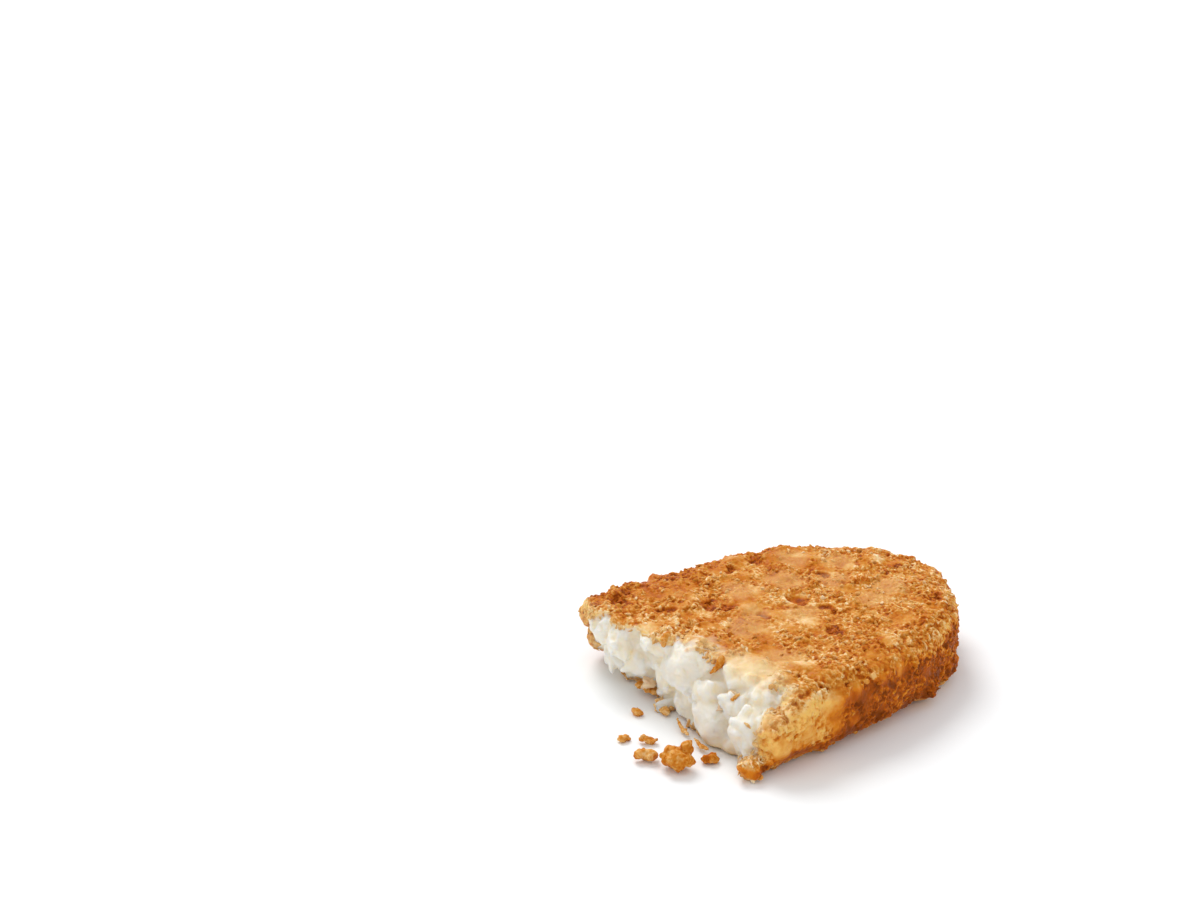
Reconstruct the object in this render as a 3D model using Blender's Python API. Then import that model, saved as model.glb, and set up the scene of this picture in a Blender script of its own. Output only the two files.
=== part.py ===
"""Half of a fried hash brown: an oval patty of shredded potato, torn across the middle, lying flat.

Metres, +Z up. +X runs along the patty, from the torn face to the rounded end, and +Y runs across it, from
the front edge to the back edge. The patty is built with X = 0 at the middle of the whole, unbroken patty,
and moved at the end so that the origin is below the middle of the half, on the plane that it rests on.
"""

import math

import bmesh
import bpy
import numpy as np
from mathutils import Euler, Matrix, Vector, noise
from mathutils.bvhtree import BVHTree

NAME = "hash_brown"
MM = 0.001

# The whole patty as pressed and fried
HALF_LENGTH = 61.6 * MM
WIDTH = 62.8 * MM
THICKNESS = 16.2 * MM
OUTLINE_POWER = 2.8  # 2 is an ellipse, more is squarer
END_LEAN = 0.034  # the end isn't quite even: by this share longer at the back and shorter at the front
SHOULDER_RADIUS = 5.0 * MM  # rounds the side into the two flat faces

# How finely the plain core is drawn
SIDE_POINTS = 96
BREAK_POINTS = 50
SHOULDER_POINTS = 7

# The break in millimetres, (across, along) from the front edge to the back edge, on the top face and on the
# underside. The two differ, so the torn face twists: it slopes outwards to the foot at the front and
# undercuts the top at the back.
TOP_BREAK = ((-31.0, 0.6), (-19.0, 1.0), (-12.5, 1.4), (-7.0, -0.4), (0.0, -0.4), (4.5, -5.2),
             (9.0, -6.0), (14.5, -8.8), (21.0, -9.2), (31.0, -4.6))
FOOT_BREAK = ((-31.0, -9.6), (-25.0, -8.8), (-19.0, -6.6), (-10.5, -7.0), (0.0, -3.3), (13.0, -1.4),
              (31.0, -0.2))

# Shreds pressed flat into the crust, each mostly sunk in the patty
CRUST_SHREDS = 330
SHRED_LENGTH = (5.5 * MM, 11.0 * MM)
SHRED_WIDTH = (3.0 * MM, 5.2 * MM)
SHRED_DEPTH = (2.2 * MM, 3.4 * MM)
SHRED_PROUD = 1.3 * MM  # how far the proudest shreds stand over the pressed face
LEAST_PROUD = 0.25  # and the share of it that the lowest ones reach
SHRED_BOW = 0.25  # how far a shred bends sideways, as a share of its width
SHRED_SPACING = 4.1 * MM
REST_CUT = 0.8 * MM  # how much of the proudest shreds is pressed flat on the underside
RAGGED_EDGE = 0.5 * MM  # how far a crust shred may reach past the break

# Knobs of crust on the rim, in millimetres: along, across, height of the middle, full size. The last four lie
# side by side and fill out the rounded end.
RIM_KNOBS = (
    (13.4, 28.4, 13.4, 3.8),
    (-3.2, 27.8, 10.8, 5.5),
    (46.0, -21.0, 4.4, 6.6),
    (38.5, -24.8, 3.6, 6.0),
    (-8.2, -27.4, 2.2, 4.9),
    (57.9, 9.4, 11.1, 8.6),
    (59.9, 4.4, 11.3, 8.8),
    (60.3, -0.6, 11.0, 8.4),
    (59.2, -5.0, 10.8, 7.6),
)
KNOB_SHAPE = Vector((1.0, 0.9, 0.8))

# Soft lumps that show in the torn face, in millimetres: across, height of the middle, then full width,
# full height and full depth, and how far it stands out of the break
TORN_LUMPS = (
    (-1.3, 10.5, 14.0, 10.4, 12.0, 4.2),
    (-11.3, 4.6, 11.0, 9.0, 10.0, 3.0),
    (-8.6, 8.9, 8.5, 6.0, 8.0, 2.2),
    (-14.2, 12.6, 10.0, 6.0, 9.0, 1.0),
    (-17.2, 8.0, 6.0, 6.5, 6.5, 2.2),
    (-20.8, 11.4, 6.5, 5.0, 6.0, 0.8),
    (-22.0, 5.2, 6.5, 11.0, 7.0, 2.0),
    (-17.6, 2.0, 5.0, 3.6, 5.0, 0.8),
    (-26.8, 6.5, 7.0, 10.0, 6.0, 0.5),
    (-1.6, 3.6, 7.0, 6.5, 7.0, 1.6),
    (4.2, 5.6, 5.5, 6.0, 6.0, 0.9),
    (7.6, 12.8, 8.0, 5.0, 7.0, 0.5),
    (9.4, 4.5, 6.0, 4.0, 5.0, 0.4),
    (12.2, 7.0, 6.5, 5.5, 6.5, 2.2),
    (15.4, 10.8, 7.0, 7.5, 7.0, 1.7),
    (19.0, 5.0, 8.0, 6.0, 6.5, 1.7),
    (20.5, 11.8, 7.0, 6.5, 6.5, 0.9),
    (26.0, 8.0, 8.0, 10.0, 7.0, 0.5),
)
BREAK_INSET = 1.5 * MM  # the core stands this far behind the break, and the lumps fill it up
LUMP_TURN = 0.25  # radians, at most
LUMP_SQUARENESS = 2.5  # 2 is round, more has flatter sides
KNOB_SQUARENESS = 2.1
LUMP_DENTS = 2.6  # dents across one lump
LUMP_UNEVEN = 0.24  # how deep its dents are, as a share of its size
SMALL_UNEVEN = 0.4  # and those of small lumps
KNOB_UNEVEN = 0.28  # and of knobs and flaps
SMALL_LUMPS = 40
SMALL_LUMP_SIZE = (2.6 * MM, 5.0 * MM)
SMALL_LUMP_STRETCH = (0.8, 1.5)
SMALL_LUMP_DEPTH = (0.30, 0.55)  # how far each is sunk, as a share of its size
SMALL_LUMP_REACH = 0.82  # the share of the width that they are scattered over
SMALL_LUMP_HEIGHT = 0.70  # and the share of the height

# Thin flaps of the lower crust that reach out from under the torn face: across, reach and full length in
# millimetres, and turn in degrees
FOOT_FLAPS = (
    (9.6, 1.3, 7.5, 68.0),
    (3.4, 1.6, 5.5, 40.0),
    (-5.6, 0.9, 6.0, 64.0),
    (-13.6, 1.2, 5.5, 82.0),
    (-27.4, 1.0, 6.5, 55.0),
)
FLAP_WIDTH = 3.2 * MM
FLAP_DEPTH = 1.5 * MM
FLAP_HEIGHT = 0.9 * MM
FLAP_TILT = 0.12  # radians

# How the pieces are melted into one body
FUSE_SIZE = 0.8 * MM
SMOOTH_PASSES = 2
CRUST_TRIANGLES = 10400

GOLDEN_CRUST = (0.56, 0.30, 0.09, 1.0)
TRAY_SIZE = (200.0 * MM, 200.0 * MM, 20.0 * MM)  # the block whose top cuts the underside flat
SEED = 20


def clear_scene():
    for item in list(bpy.data.objects):
        bpy.data.objects.remove(item, do_unlink=True)


def break_at(across, height):
    """Where the break runs along X, at a place across the patty and a height."""
    lines = []
    for line in (FOOT_BREAK, TOP_BREAK):
        places, reach = np.array(line).T * MM
        step = int(np.clip(np.searchsorted(places, across) - 1, 0, len(places) - 2))
        share = np.clip((across - places[step]) / (places[step + 1] - places[step]), 0.0, 1.0)
        eased = share * share * (3.0 - 2.0 * share)
        lines.append(reach[step] + (reach[step + 1] - reach[step]) * eased)
    up = min(max(height / THICKNESS, 0.0), 1.0)
    return lines[0] + (lines[1] - lines[0]) * up


def side_angle(along, half_length):
    """The superellipse's angle at a place along the patty: 90 degrees at its middle, 0 at the rounded end."""
    share = min(abs(along) / half_length, 1.0) ** (OUTLINE_POWER / 2.0)
    return math.acos(math.copysign(share, along))


def slice_loop(height, inset, past_break):
    """One level's outline: round the side from the front edge to the back edge, then back along the break."""
    half_length = HALF_LENGTH - inset
    half_width = WIDTH / 2.0 - inset
    front = side_angle(break_at(-half_width, height) - past_break, half_length)
    back = side_angle(break_at(half_width, height) - past_break, half_length)
    loop = []
    for angle in np.linspace(-front, back, SIDE_POINTS):
        along = math.copysign(abs(math.cos(angle)) ** (2.0 / OUTLINE_POWER), math.cos(angle))
        across = math.copysign(abs(math.sin(angle)) ** (2.0 / OUTLINE_POWER), math.sin(angle))
        loop.append((along * half_length * (1.0 + END_LEAN * across), across * half_width, height))
    for across in np.linspace(half_width, -half_width, BREAK_POINTS)[1:-1]:
        loop.append((break_at(across, height) - past_break, across, height))
    return loop


def patty_levels():
    """(height, inset) pairs up the side: a round shoulder, the upright side and the other shoulder."""
    bottom = SHRED_PROUD - REST_CUT
    top = THICKNESS - SHRED_PROUD
    levels = []
    for turn in np.linspace(0.0, math.pi / 2.0, SHOULDER_POINTS):
        rise = SHOULDER_RADIUS * (1.0 - math.cos(turn))
        levels.append((bottom + rise, SHOULDER_RADIUS * (1.0 - math.sin(turn))))
    upper = [(bottom + top - height, inset) for height, inset in reversed(levels)]
    return [(height, SHRED_PROUD + inset) for height, inset in levels + upper]


def pressed_patty(past_break):
    """The patty's plain core as a closed mesh, with its broken end moved out past the break by past_break."""
    body = bmesh.new()
    loops = []
    for height, inset in patty_levels():
        loops.append([body.verts.new(point) for point in slice_loop(height, inset, past_break)])
    for low, high in zip(loops, loops[1:]):
        for i in range(len(low)):
            j = (i + 1) % len(low)
            body.faces.new((low[i], low[j], high[j], high[i]))
    body.faces.new(loops[-1])
    body.faces.new(reversed(loops[0]))
    bmesh.ops.triangulate(body, faces=body.faces[:])
    bmesh.ops.recalc_face_normals(body, faces=body.faces[:])
    return body


def spread_over(body, count, spacing, rng):
    """Seeded places on a mesh, spread evenly by area and kept a spacing apart."""
    corners = np.array([[v.co for v in face.verts] for face in body.faces])
    areas = np.array([face.calc_area() for face in body.faces])
    chosen = np.zeros((0, 3))
    for face in rng.choice(len(areas), size=count * 30, p=areas / areas.sum()):
        if len(chosen) == count:
            break
        first, second = np.sort(rng.random(2))
        weights = np.array((first, second - first, 1.0 - second))
        place = weights @ corners[face]
        if not len(chosen) or np.linalg.norm(chosen - place, axis=1).min() > spacing:
            chosen = np.vstack((chosen, place))
    return [Vector(place) for place in chosen]


def crust_shred(target, skin, centre, rng):
    """Wraps one flat shred of potato onto the pressed patty, so that it follows the shoulder it lies on."""
    half_length = rng.uniform(*SHRED_LENGTH) / 2.0
    half_width = rng.uniform(*SHRED_WIDTH) / 2.0
    half_depth = rng.uniform(*SHRED_DEPTH) / 2.0
    proud = rng.uniform(LEAST_PROUD, 1.0) * SHRED_PROUD
    heading = rng.uniform(0.0, math.pi)
    bow = rng.uniform(-SHRED_BOW, SHRED_BOW)
    _, normal, _, _ = skin.find_nearest(centre)
    along = Matrix.Rotation(heading, 3, normal) @ normal.orthogonal().normalized()
    across = normal.cross(along)
    tip = centre.x - math.hypot(along.x * half_length, across.x * half_width)
    centre.x += max(0.0, break_at(centre.y, centre.z) - RAGGED_EDGE - tip)
    shred = bmesh.ops.create_icosphere(target, subdivisions=2, radius=1.0)["verts"]
    for vert in shred:
        reach = vert.co.x * half_length
        swerve = vert.co.y * half_width + bow * half_width * (2.0 * vert.co.x * vert.co.x - 1.0)
        spot, outwards, _, _ = skin.find_nearest(centre + along * reach + across * swerve)
        vert.co = spot + outwards * (proud - half_depth + vert.co.z * half_depth)


def potato_lump(target, centre, size, turn, uneven, squareness):
    """A soft, uneven lump of cooked potato."""
    spin = Euler(turn).to_matrix()
    lump = bmesh.ops.create_icosphere(target, subdivisions=3, radius=0.5)["verts"]
    for vert in lump:
        swell = 1.0 + uneven * noise.noise(vert.co * LUMP_DENTS + centre / MM)
        swell *= 0.5 / sum(abs(share) ** squareness for share in vert.co) ** (1.0 / squareness)
        shaped = Vector((vert.co.x * size[0], vert.co.y * size[1], vert.co.z * size[2]))
        vert.co = centre + spin @ shaped * swell


def fill_torn_face(target, rng):
    """Packs the torn face with the big lumps that show, then with small ones between them."""
    for across, height, wide, high, deep, proud in TORN_LUMPS:
        y, z, depth = across * MM, height * MM, deep * MM
        x = break_at(y, z) + depth / 2.0 - proud * MM
        centre = Vector((x, y, z))
        turn = [noise.noise(centre / MM + Vector((shift, 0.0, 0.0))) for shift in (0.0, 20.0, 40.0)]
        size = (depth, wide * MM, high * MM)
        potato_lump(target, centre, size, LUMP_TURN * Vector(turn), LUMP_UNEVEN, LUMP_SQUARENESS)
    for _ in range(SMALL_LUMPS):
        size = rng.uniform(*SMALL_LUMP_SIZE)
        y = rng.uniform(-0.5, 0.5) * SMALL_LUMP_REACH * WIDTH
        z = (0.5 + rng.uniform(-0.5, 0.5) * SMALL_LUMP_HEIGHT) * THICKNESS
        x = break_at(y, z) + size * rng.uniform(*SMALL_LUMP_DEPTH)
        stretch = rng.uniform(*SMALL_LUMP_STRETCH, 3)
        turn = rng.uniform(-1.0, 1.0, 3)
        potato_lump(target, Vector((x, y, z)), stretch * size, turn, SMALL_UNEVEN, LUMP_SQUARENESS)


def rim_knobs(target):
    """Knobs of crust that stand out of the rim, which is not quite even."""
    for along, across, height, size in RIM_KNOBS:
        centre = Vector((along, across, height)) * MM
        turn = (0.0, 0.0, along)
        potato_lump(target, centre, KNOB_SHAPE * size * MM, turn, KNOB_UNEVEN, KNOB_SQUARENESS)


def foot_flaps(target):
    """Thin flaps of the lower crust, left reaching out when the patty was pulled apart."""
    for across, reach, length, turn in FOOT_FLAPS:
        y, z = across * MM, FLAP_HEIGHT
        x = break_at(y, z) - reach * MM + FLAP_WIDTH / 2.0
        size = (length * MM, FLAP_WIDTH, FLAP_DEPTH)
        tilt = (0.0, FLAP_TILT, math.radians(turn))
        potato_lump(target, Vector((x, y, z)), size, tilt, KNOB_UNEVEN, KNOB_SQUARENESS)


def evaluated_mesh(thing):
    """The object's mesh with its modifiers applied."""
    bpy.context.view_layer.update()
    seen = bpy.context.evaluated_depsgraph_get()
    return bpy.data.meshes.new_from_object(thing.evaluated_get(seen), depsgraph=seen)


def keep_one_body(mesh):
    """Drops loose scraps and the walls of sealed pockets, which leaves the one outer skin."""
    body = bmesh.new()
    body.from_mesh(mesh)
    unseen = set(body.verts)
    islands = []
    while unseen:
        island = [unseen.pop()]
        for vert in island:
            for edge in vert.link_edges:
                other = edge.other_vert(vert)
                if other in unseen:
                    unseen.remove(other)
                    island.append(other)
        islands.append(island)
    islands.sort(key=len)
    for island in islands[:-1]:
        bmesh.ops.delete(body, geom=island, context="VERTS")
    body.to_mesh(mesh)
    body.free()


def fuse(thing):
    """Melts the overlapping pieces into one crust, and thins it to few triangles."""
    remesh = thing.modifiers.new("melt_together", "REMESH")
    remesh.mode = "VOXEL"
    remesh.voxel_size = FUSE_SIZE
    soften = thing.modifiers.new("soften", "SMOOTH")
    soften.factor = 0.5
    soften.iterations = SMOOTH_PASSES
    melted = evaluated_mesh(thing)
    thing.modifiers.clear()
    keep_one_body(melted)
    thing.data = melted
    melted.calc_loop_triangles()
    thin = thing.modifiers.new("thin_out", "DECIMATE")
    thin.ratio = CRUST_TRIANGLES / len(melted.loop_triangles)


def press_flat(thing):
    """Cuts the underside along the plane that the patty lay on, so that its proudest shreds end in flats."""
    bpy.ops.mesh.primitive_cube_add(size=1.0)
    tray = bpy.context.object
    tray.name = "tray"
    tray.scale = TRAY_SIZE
    tray.location = (HALF_LENGTH / 2.0, 0.0, -TRAY_SIZE[2] / 2.0)
    tray.hide_render = True
    tray.display_type = "WIRE"
    cut = thing.modifiers.new("lay_flat", "BOOLEAN")
    cut.operation = "DIFFERENCE"
    cut.solver = "EXACT"
    cut.object = tray
    thing.data = evaluated_mesh(thing)
    thing.modifiers.clear()
    bpy.data.objects.remove(tray, do_unlink=True)
    keep_one_body(thing.data)


def centre_on_origin(mesh):
    """Puts the origin below the middle of the half patty, on the plane that it rests on."""
    places = np.array([vert.co for vert in mesh.vertices])
    low, high = places.min(axis=0), places.max(axis=0)
    middle = (low + high) / 2.0
    mesh.transform(Matrix.Translation((-middle[0], -middle[1], -low[2])))


def fried_crust():
    finish = bpy.data.materials.new("fried_crust")
    finish.use_nodes = True
    shader = finish.node_tree.nodes["Principled BSDF"]
    shader.inputs["Base Color"].default_value = GOLDEN_CRUST
    shader.inputs["Roughness"].default_value = 0.55
    shader.inputs["Metallic"].default_value = 0.0
    return finish


def hash_brown():
    rng = np.random.default_rng(SEED)
    pieces = pressed_patty(past_break=-BREAK_INSET)
    whole = pressed_patty(past_break=HALF_LENGTH / 3.0)
    skin = BVHTree.FromBMesh(whole)
    for place in spread_over(whole, CRUST_SHREDS, SHRED_SPACING, rng):
        if place.x > break_at(place.y, place.z):
            crust_shred(pieces, skin, place, rng)
    whole.free()
    fill_torn_face(pieces, rng)
    rim_knobs(pieces)
    foot_flaps(pieces)
    mesh = bpy.data.meshes.new(NAME)
    pieces.to_mesh(mesh)
    pieces.free()
    patty = bpy.data.objects.new(NAME, mesh)
    bpy.context.scene.collection.objects.link(patty)
    fuse(patty)
    press_flat(patty)
    centre_on_origin(patty.data)
    patty.data.name = NAME
    patty.data.materials.clear()
    patty.data.materials.append(fried_crust())
    patty.data.shade_smooth()


clear_scene()
hash_brown()
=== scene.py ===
"""A torn half of a fried hash brown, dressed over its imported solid, with its crisp bits and crumbs.

Metres, +Z up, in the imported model's frame: +X runs along the patty from the torn face to the rounded
end, +Y across it from the front edge to the back edge, and the table top is at Z = 0. Places along the
patty are measured from the middle of the whole, unbroken patty.
"""

import itertools
import math

import bmesh
import bpy
import numpy as np
from mathutils import Euler, Matrix, Vector, noise
from mathutils.bvhtree import BVHTree


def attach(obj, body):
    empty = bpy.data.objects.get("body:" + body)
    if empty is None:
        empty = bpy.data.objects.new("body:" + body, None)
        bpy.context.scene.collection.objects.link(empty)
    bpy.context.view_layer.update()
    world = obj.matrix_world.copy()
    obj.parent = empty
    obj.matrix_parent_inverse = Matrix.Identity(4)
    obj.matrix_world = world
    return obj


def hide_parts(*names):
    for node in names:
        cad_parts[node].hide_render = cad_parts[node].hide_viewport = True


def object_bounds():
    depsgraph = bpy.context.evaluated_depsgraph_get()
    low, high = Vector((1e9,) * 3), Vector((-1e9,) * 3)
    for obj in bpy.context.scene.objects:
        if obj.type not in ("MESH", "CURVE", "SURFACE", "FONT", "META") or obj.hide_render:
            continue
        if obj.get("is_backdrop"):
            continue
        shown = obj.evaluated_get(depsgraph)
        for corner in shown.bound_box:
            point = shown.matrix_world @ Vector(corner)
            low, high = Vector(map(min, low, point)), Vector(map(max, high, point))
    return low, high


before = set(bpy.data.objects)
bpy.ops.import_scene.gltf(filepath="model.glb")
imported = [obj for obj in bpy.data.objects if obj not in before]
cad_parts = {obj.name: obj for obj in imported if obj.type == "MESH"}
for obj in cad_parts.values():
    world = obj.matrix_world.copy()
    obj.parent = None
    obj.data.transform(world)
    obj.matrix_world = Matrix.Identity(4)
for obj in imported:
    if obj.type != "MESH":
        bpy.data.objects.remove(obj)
cad_low, cad_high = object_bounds()

# ------------------------------------------------------------------------------------------- camera
# A short telephoto lens looks down across the patty's front corner, so that the torn face, the long
# front side and the whole top crust show. It stands about half a metre away.

MM = 0.001
END_REACH = 64.8 * MM  # from the middle of the whole patty to the tip of its rounded end
WHOLE_MIDDLE = cad_high.x - END_REACH
CAMERA_PLACE = Vector((WHOLE_MIDDLE - 258.7 * MM, -312.4 * MM, 215.9 * MM))
CAMERA_HEADING = 37.1  # degrees from +Y towards +X
CAMERA_DIP = 21.7  # degrees below level
LENS_LENGTH = 70.0  # in millimetres, as the sensor's width is
SENSOR_WIDTH = 36.0
NEAREST_SEEN = 0.01

lens = bpy.data.cameras.new("camera")
lens.lens = LENS_LENGTH
lens.sensor_width = SENSOR_WIDTH
lens.sensor_fit = "HORIZONTAL"
lens.clip_start = NEAREST_SEEN
camera = bpy.data.objects.new("camera", lens)
camera.location = CAMERA_PLACE
camera.rotation_euler = (math.radians(90.0 - CAMERA_DIP), 0.0, math.radians(-CAMERA_HEADING))
bpy.context.scene.collection.objects.link(camera)
bpy.context.scene.camera = camera

# -------------------------------------------------------------------------------- table and studio
# A plain white table top, big enough to fill the view, with one broad soft light high up behind the patty.
# White walls all round fill the shadows.

TABLE_REACH = 3.0
TABLE_WHITE = (0.905, 0.92, 0.93, 1.0)
TABLE_ROUGHNESS = 0.9
ROOM_WHITE = (1.0, 1.0, 1.0, 1.0)
ROOM_STRENGTH = 0.86
LIGHT_PLACE = Vector((0.13, 0.60, 0.74))
LIGHT_WIDTH = 0.50
LIGHT_POWER = 5.0  # watts

white_table = bpy.data.materials.new("white_table")
white_table.use_nodes = True
table_shader = white_table.node_tree.nodes["Principled BSDF"]
table_shader.inputs["Base Color"].default_value = TABLE_WHITE
table_shader.inputs["Roughness"].default_value = TABLE_ROUGHNESS
table_shader.inputs["Specular IOR Level"].default_value = 0.0

table_mesh = bpy.data.meshes.new("table_top")
corners = [(x * TABLE_REACH, y * TABLE_REACH, 0.0) for x, y in ((-1, -1), (1, -1), (1, 1), (-1, 1))]
table_mesh.from_pydata(corners, [], [(0, 1, 2, 3)])
table_mesh.materials.append(white_table)
table_top = bpy.data.objects.new("table_top", table_mesh)
bpy.context.scene.collection.objects.link(table_top)
table_top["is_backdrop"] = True

room = bpy.data.worlds.new("white_room")
room.use_nodes = True
room.node_tree.nodes["Background"].inputs["Color"].default_value = ROOM_WHITE
room.node_tree.nodes["Background"].inputs["Strength"].default_value = ROOM_STRENGTH
bpy.context.scene.world = room

softbox = bpy.data.lights.new("window_light", "AREA")
softbox.shape = "DISK"
softbox.size = LIGHT_WIDTH
softbox.energy = LIGHT_POWER
lamp = bpy.data.objects.new("window_light", softbox)
lamp.location = LIGHT_PLACE
lamp.rotation_euler = (-LIGHT_PLACE).to_track_quat("-Z", "Y").to_euler()
bpy.context.scene.collection.objects.link(lamp)

bpy.context.scene.view_settings.view_transform = "Standard"

# ---------------------------------------------------------------------------------------- the patty
# Grated potato pressed into an oval cake and fried. Flat shreds on the outside brown and shrink into a
# bumpy crust, and the crisp batter that ran between them stands up in fine crags. Broken across, the
# inside shows as soft white lumps, with a thin golden rim of crust around them.

SKIN_CELL = 0.26 * MM
# How many times the edges of the shreds, of the soft lumps and of the broad bumps are worn down
CRUST_PASSES = 11
POTATO_PASSES = 3
BULGE_PASSES = 19
PATTY_HALF_LENGTH = 61.6 * MM
PATTY_HALF_WIDTH = 31.4 * MM
PATTY_HEIGHT = cad_high.z - cad_low.z
OUTLINE_POWER = 2.8
SHOULDER = 5.0 * MM

# The break in millimetres, (across, along), on the top face and at the foot
TOP_BREAK = ((-31.0, 0.6), (-19.0, 1.0), (-12.5, 1.4), (-7.0, -0.4), (0.0, -0.4), (4.5, -5.2),
             (9.0, -6.0), (14.5, -8.8), (21.0, -9.2), (31.0, -4.6))
FOOT_BREAK = ((-31.0, -9.6), (-25.0, -8.8), (-19.0, -6.6), (-10.5, -7.0), (0.0, -3.3), (13.0, -1.4),
              (31.0, -0.2))

# Soft lumps that show in the torn face, in millimetres: across, height of the middle, then full width,
# full height and full depth, and how far it stands out of the break
TORN_LUMPS = (
    (-1.3, 10.5, 14.0, 10.4, 12.0, 4.2),
    (-11.3, 4.6, 11.0, 9.0, 10.0, 3.0),
    (-8.6, 8.9, 8.5, 6.0, 8.0, 2.2),
    (-14.2, 12.6, 10.0, 6.0, 9.0, 1.0),
    (-17.2, 8.0, 6.0, 6.5, 6.5, 2.2),
    (-20.8, 11.4, 6.5, 5.0, 6.0, 0.8),
    (-22.0, 5.2, 6.5, 11.0, 7.0, 2.0),
    (-17.6, 2.0, 5.0, 3.6, 5.0, 0.8),
    (-26.8, 6.5, 7.0, 10.0, 6.0, 0.5),
    (-1.6, 3.6, 7.0, 6.5, 7.0, 1.6),
    (4.2, 5.6, 5.5, 6.0, 6.0, 0.9),
    (7.6, 12.8, 8.0, 5.0, 7.0, 0.5),
    (9.4, 4.5, 6.0, 4.0, 5.0, 0.4),
    (12.2, 7.0, 6.5, 5.5, 6.5, 2.2),
    (15.4, 10.8, 7.0, 7.5, 7.0, 1.7),
    (19.0, 5.0, 8.0, 6.0, 6.5, 1.7),
    (20.5, 11.8, 7.0, 6.5, 6.5, 0.9),
    (26.0, 8.0, 8.0, 10.0, 7.0, 0.5),
)
LUMP_TURN = 0.25
LUMP_UNEVEN = 0.24
LUMP_DENTS = 2.6
LUMP_SQUARENESS = 2.5
BETWEEN_LUMPS = 0.6 * MM  # how far the face between the lumps is set back

# The rim of crust round the torn face, in millimetres: its thickness at shares of the patty's height, and
# how much thicker it is at its upper back corner
RIM_HEIGHTS = (0.0, 0.3, 1.0)
RIM_THICKNESS = (0.7, 0.9, 1.5)
THICK_CORNER = 2.2
# Where the soft potato gives way to crust: behind the break, at the back corner and at the front corner
TORN_DEPTH = (2.5 * MM, 5.0 * MM)
BACK_CORNER = (25.0 * MM, 26.5 * MM)
FRONT_CORNER = (-26.8 * MM, -24.2 * MM)

# Two stretches of the break, as (middle, reach) across the patty in millimetres: where the crust steamed
# and stayed pale, and where the biggest lump rises through the rim
STEAMED_STRETCH = (-16.0, 7.5)
BIG_LUMP_STRETCH = (-1.6, 3.6)

# What the fried finish reads at each point: how brown and how crisp the crust is, how amber its brown is,
# where it is soft potato, how pale it is, how much cream the potato takes (its own, and a painted warm glow
# in its creases), and whether it is a loose bit
FINISH_READS = ("toast", "crisp", "amber", "soft", "pale", "shade", "loose")

# Bits of shred, half sunk in the torn face: where they lie, in millimetres, and their sizes
SHRED_BITS = 140
BIT_ACROSS = (-28.5, 26.0)
BIT_HEIGHT = (1.2, 14.6)
BIT_LENGTH = (2.2 * MM, 6.0 * MM)
BIT_WIDTH = (1.2 * MM, 2.8 * MM)
BIT_DEPTH = (1.1 * MM, 2.0 * MM)
BIT_PROUD = (0.05 * MM, 0.42 * MM)
BIT_TILT = 0.3
BIT_SQUARENESS = 3.4
BIT_UNEVEN = 0.30
SMOOTH_LUMPS = ((-1.3, 10.5, 5.6), (-11.3, 4.6, 4.0))  # (across, height, radius) kept clear of them
FACET_SIZE = 2.5 * MM
FACET_DEPTH = 0.40 * MM
FACET_TILT = 0.7
# After so many of its cells, a pattern of facets comes back, and so does a mottled one
FACET_CELLS = 16
MOTTLE_CELLS = 32
TINY = 1e-6  # keeps the middle of the patty from dividing by nothing


def ramp(value, low, high):
    """Rises smoothly from 0 at low to 1 at high."""
    share = np.clip((value - low) / (high - low), 0.0, 1.0)
    return share * share * (3.0 - 2.0 * share)


def mottle(points, size, seed):
    """Smooth random values from -1 to 1 that change over about one size."""
    table = np.random.default_rng(seed).uniform(-1.0, 1.0, (MOTTLE_CELLS,) * 3)
    cell = np.floor(points / size).astype(int)
    share = points / size - cell
    share = share * share * (3.0 - 2.0 * share)
    total = np.zeros(len(points))
    for corner in itertools.product((0, 1), repeat=3):
        weight = np.prod(np.where(corner, share, 1.0 - share), axis=1)
        i, j, k = ((cell + corner) % MOTTLE_CELLS).T
        total += weight * table[i, j, k]
    return total


def facets(points, size, seed):
    """A relief of tilted flat facets, as of torn flakes: values of about -1 to 1 that jump between them."""
    rng = np.random.default_rng(seed)
    shape = (FACET_CELLS, FACET_CELLS, FACET_CELLS, 3)
    spots = rng.random(shape)
    tilts = rng.normal(0.0, FACET_TILT, shape)
    cell = np.floor(points / size).astype(int)
    share = points / size - cell
    nearest = np.full(len(points), np.inf)
    relief = np.zeros(len(points))
    for step in itertools.product((-1, 0, 1), repeat=3):
        i, j, k = ((cell + step) % FACET_CELLS).T
        offset = share - step - spots[i, j, k]
        far = (offset ** 2).sum(axis=1)
        here = (offset * tilts[i, j, k]).sum(axis=1)
        relief = np.where(far < nearest, here, relief)
        nearest = np.minimum(nearest, far)
    return relief


def break_at(across, height):
    """Where the break runs, along the patty, at places across it and heights."""
    lines = []
    for line in (FOOT_BREAK, TOP_BREAK):
        places, reach = np.array(line).T * MM
        step = np.clip(np.searchsorted(places, across) - 1, 0, len(places) - 2)
        share = (across - places[step]) / (places[step + 1] - places[step])
        lines.append(reach[step] + (reach[step + 1] - reach[step]) * ramp(share, 0.0, 1.0))
    return lines[0] + (lines[1] - lines[0]) * np.clip(height / PATTY_HEIGHT, 0.0, 1.0)


def past_break(points):
    """How far each point lies behind the break, along X."""
    return points[:, 0] - WHOLE_MIDDLE - break_at(points[:, 1], points[:, 2])


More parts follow.
